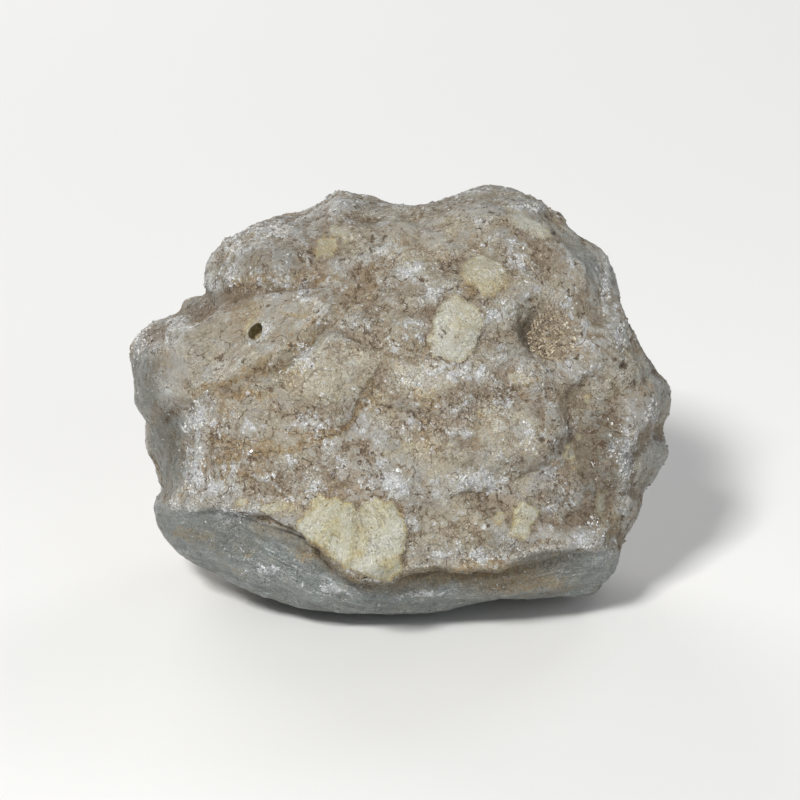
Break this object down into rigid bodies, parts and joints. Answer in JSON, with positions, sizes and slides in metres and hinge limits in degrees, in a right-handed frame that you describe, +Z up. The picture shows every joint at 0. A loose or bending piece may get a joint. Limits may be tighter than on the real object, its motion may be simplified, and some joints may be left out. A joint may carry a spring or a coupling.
{
  "type": "quartz geode",
  "caption": "Whole rough quartz geode nodule with a sugary milky rind, stained crust patches, a set-back grey band low down and a flat to rest on.",
  "frame": {"origin": "on the resting flat's plane, under the middle of the stone's bounding box", "axes": "+Z up, +X along the stone's greatest width to the viewer's right, +Y towards the back of the stone"},
  "size_m": [0.1499, 0.1137, 0.1126],
  "materials": {
    "quartz_rind": "rough granular milky quartz with brown dust, cream crust and grey bands"
  },
  "bodies": {
    "root": {"geode": "quartz_rind"}
  },
  "joints": []
}
